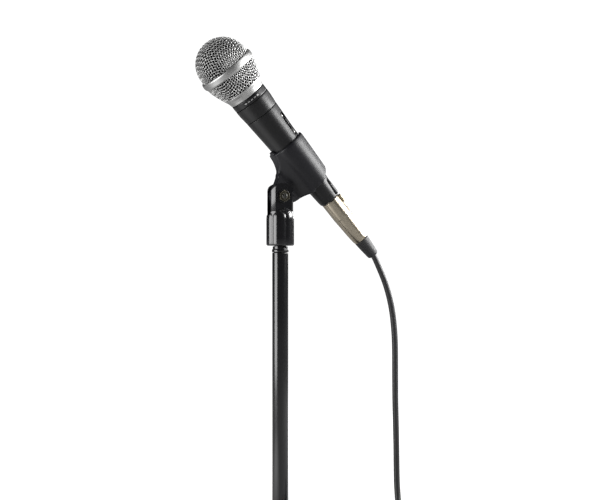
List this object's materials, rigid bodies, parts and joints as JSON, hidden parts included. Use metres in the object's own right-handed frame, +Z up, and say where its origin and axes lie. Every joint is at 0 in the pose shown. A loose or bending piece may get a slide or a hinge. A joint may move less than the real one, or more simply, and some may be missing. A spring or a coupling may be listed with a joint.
{
  "type": "dynamic microphone",
  "caption": "Hand-held dynamic vocal microphone with a woven ball grille, held in a tilting clip on a short weighted stand, its lead plugged in and coiled.",
  "frame": {"origin": "centre of the stand's footprint, on the surface it stands on", "axes": "+Z up along the stand tube; the microphone leans in the XZ plane with its head towards -X; the pivot nut faces -Y"},
  "size_m": [0.3294, 0.2366, 0.4851],
  "materials": {
    "satin_silver": "satin",
    "steel_mesh": "woven wire",
    "handle_paint": "dark grey metallic satin",
    "gloss_black": "gloss",
    "clip_plastic": "satin",
    "black_rubber": "matt",
    "black_foam": "matt",
    "champagne_nickel": "satin",
    "brass": "polished",
    "plated_steel": "satin",
    "gold_latch": "satin",
    "dark_plastic": "satin",
    "light_plastic": "satin",
    "copper_wire": "enamelled",
    "magnet_alloy": "ground",
    "clear_film": "gloss"
  },
  "bodies": {
    "stand": {"swivel_base": "gloss_black", "thread_insert": "brass", "pivot_bolt": "plated_steel", "nut_washer": "plated_steel", "pivot_nut": "brass", "stand_stud": "gloss_black", "stand_tube": "gloss_black", "base_plate": "gloss_black", "tube_foot": "plated_steel", "base_nut": "plated_steel", "foot_1": "black_rubber", "foot_2": "black_rubber", "foot_3": "black_rubber", "foot_4": "black_rubber", "cable_run": "black_rubber", "cable_coil": "black_rubber", "cable_tail": "black_rubber", "cable_tie": "clip_plastic", "far_plug_boot": "black_rubber", "far_plug_shell": "champagne_nickel", "far_plug_insert": "dark_plastic", "far_pin_1": "brass", "far_pin_2": "brass", "far_pin_3": "brass"},
    "microphone": {"grille_dome": "steel_mesh", "grille_band": "satin_silver", "grille_basket": "steel_mesh", "grille_collar": "satin_silver", "foam_liner": "black_foam", "neck_sleeve": "handle_paint", "id_ring": "gloss_black", "handle": "handle_paint", "set_screw": "plated_steel", "socket_insert": "dark_plastic", "socket_pin_1": "brass", "socket_pin_2": "brass", "socket_pin_3": "brass", "switch_plate": "dark_plastic", "switch_body": "dark_plastic", "switch_screw_upper": "plated_steel", "switch_screw_lower": "plated_steel", "capsule_cup": "dark_plastic", "capsule_front_cap": "plated_steel", "yoke": "plated_steel", "magnet": "magnet_alloy", "pole_piece": "plated_steel", "rear_chamber": "dark_plastic", "shock_mount": "black_rubber", "transformer": "copper_wire", "capsule_lead": "black_rubber", "plug_shell": "champagne_nickel", "plug_insert": "black_rubber", "cable_chuck": "dark_plastic", "plug_boot": "black_rubber", "clip_holder": "clip_plastic"},
    "switch_slider": {"switch_slider": "light_plastic"},
    "latch": {"latch_lever": "gold_latch"},
    "diaphragm": {"diaphragm": "clear_film", "voice_coil": "copper_wire"}
  },
  "joints": [
    {"name": "tilt", "type": "hinge", "parent": "stand", "child": "microphone", "pos_m": [0, 0, 0.336], "axis": [0, 1, 0], "range_deg": [-50, 40], "deforming": ["cable_run"]},
    {"name": "switch_slide", "type": "slide", "parent": "microphone", "child": "switch_slider", "axis": [0.6547, 0, -0.7559], "range_m": [0, 0.005]},
    {"name": "latch_press", "type": "slide", "parent": "microphone", "child": "latch", "axis": [-0.7103, 0.342, -0.6152], "range_m": [0, 0.001], "stiffness_N_per_m": 800},
    {"name": "diaphragm_travel", "type": "slide", "parent": "microphone", "child": "diaphragm", "axis": [-0.6547, 0, 0.7559], "range_m": [-0.0003, 0.0003], "stiffness_N_per_m": 2000}
  ]
}
